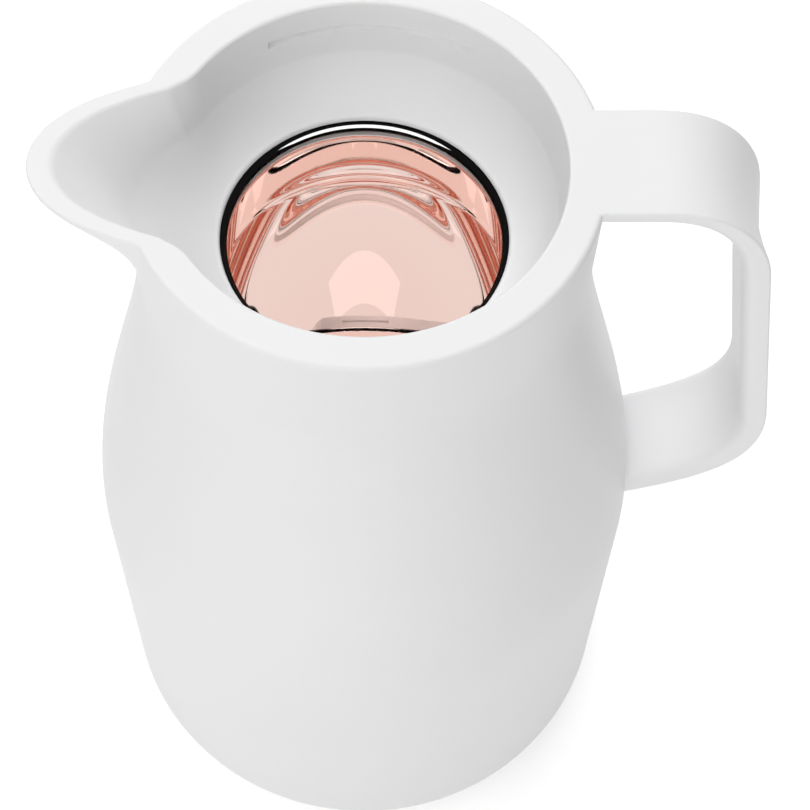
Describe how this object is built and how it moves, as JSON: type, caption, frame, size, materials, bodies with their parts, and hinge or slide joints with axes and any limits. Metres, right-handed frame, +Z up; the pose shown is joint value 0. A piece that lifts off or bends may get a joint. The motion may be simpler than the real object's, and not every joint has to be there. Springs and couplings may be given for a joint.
{
  "type": "thermal carafe",
  "caption": "Open thermal carafe: white jacket and spouted collar round a rose-mirrored glass vacuum flask, with a flat strap handle and a screwed-in base.",
  "frame": {"origin": "on the body's axis, on the surface that the carafe stands on", "axes": "+Z up along the body's axis, +X towards the handle, -X towards the spout"},
  "size_m": [0.1603, 0.13, 0.2174],
  "materials": {
    "white_plastic": "satin",
    "rose_mirror": "silvered glass with a rose tint",
    "silver_glass": "silvered glass",
    "black_silicone": "polished black silicone",
    "grey_rubber": "matt",
    "steel": "plated",
    "felt": "pressed fibre"
  },
  "bodies": {
    "jug": {"outer_jacket": "white_plastic", "pouring_collar": "white_plastic", "handle_strap": "white_plastic", "handle_screw_front": "steel", "handle_screw_back": "steel", "flask_inner_wall": "rose_mirror", "flask_outer_wall": "silver_glass", "mouth_seal": "black_silicone", "wall_spacer_1": "felt", "wall_spacer_2": "felt", "wall_spacer_3": "felt"},
    "cushion": {"support_cushion": "grey_rubber"},
    "base": {"base_cover": "white_plastic", "base_seal": "grey_rubber", "base_pad": "grey_rubber"}
  },
  "joints": [
    {"name": "base_drop", "type": "slide", "parent": "jug", "child": "cushion", "axis": [0, 0, -1], "range_m": [0, 0.006]},
    {"name": "base_turn", "type": "hinge", "parent": "cushion", "child": "base", "pos_m": [0, 0, 0], "axis": [0, 0, -1], "range_deg": [0, 540]}
  ],
  "couplings": [
    {"joint": "base_drop", "follows": "base_turn", "m_per_rad": 0.0006366}
  ]
}
